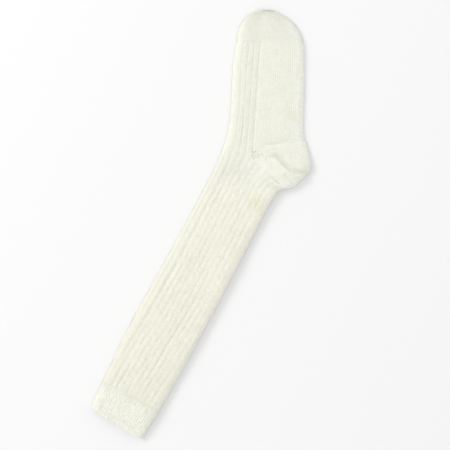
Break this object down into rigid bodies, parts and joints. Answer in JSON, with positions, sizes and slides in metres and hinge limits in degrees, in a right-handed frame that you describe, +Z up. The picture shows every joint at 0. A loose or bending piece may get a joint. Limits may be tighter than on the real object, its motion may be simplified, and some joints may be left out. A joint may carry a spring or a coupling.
{
  "type": "wool knee sock",
  "caption": "Off-white wool knee sock lying flat on its side, with a fine-ribbed cuff, wide-ribbed leg and instep, plain short-row heel, plain sole and closed toe.",
  "frame": {"origin": "centre of the sock's outline, on the surface that it lies on", "axes": "+Y along the leg from the cuff towards the foot, +X towards the heel, +Z up out of the surface"},
  "size_m": [0.1878, 0.6366, 0.0128],
  "materials": {
    "ribbed_wool": "matt, soft and slightly fuzzy wide rib",
    "plain_wool": "matt, soft plain stocking stitch"
  },
  "bodies": {
    "root": {"cuff": "ribbed_wool", "leg": "ribbed_wool", "heel": "plain_wool", "instep": "ribbed_wool", "sole": "plain_wool", "toe": "plain_wool"}
  },
  "joints": []
}
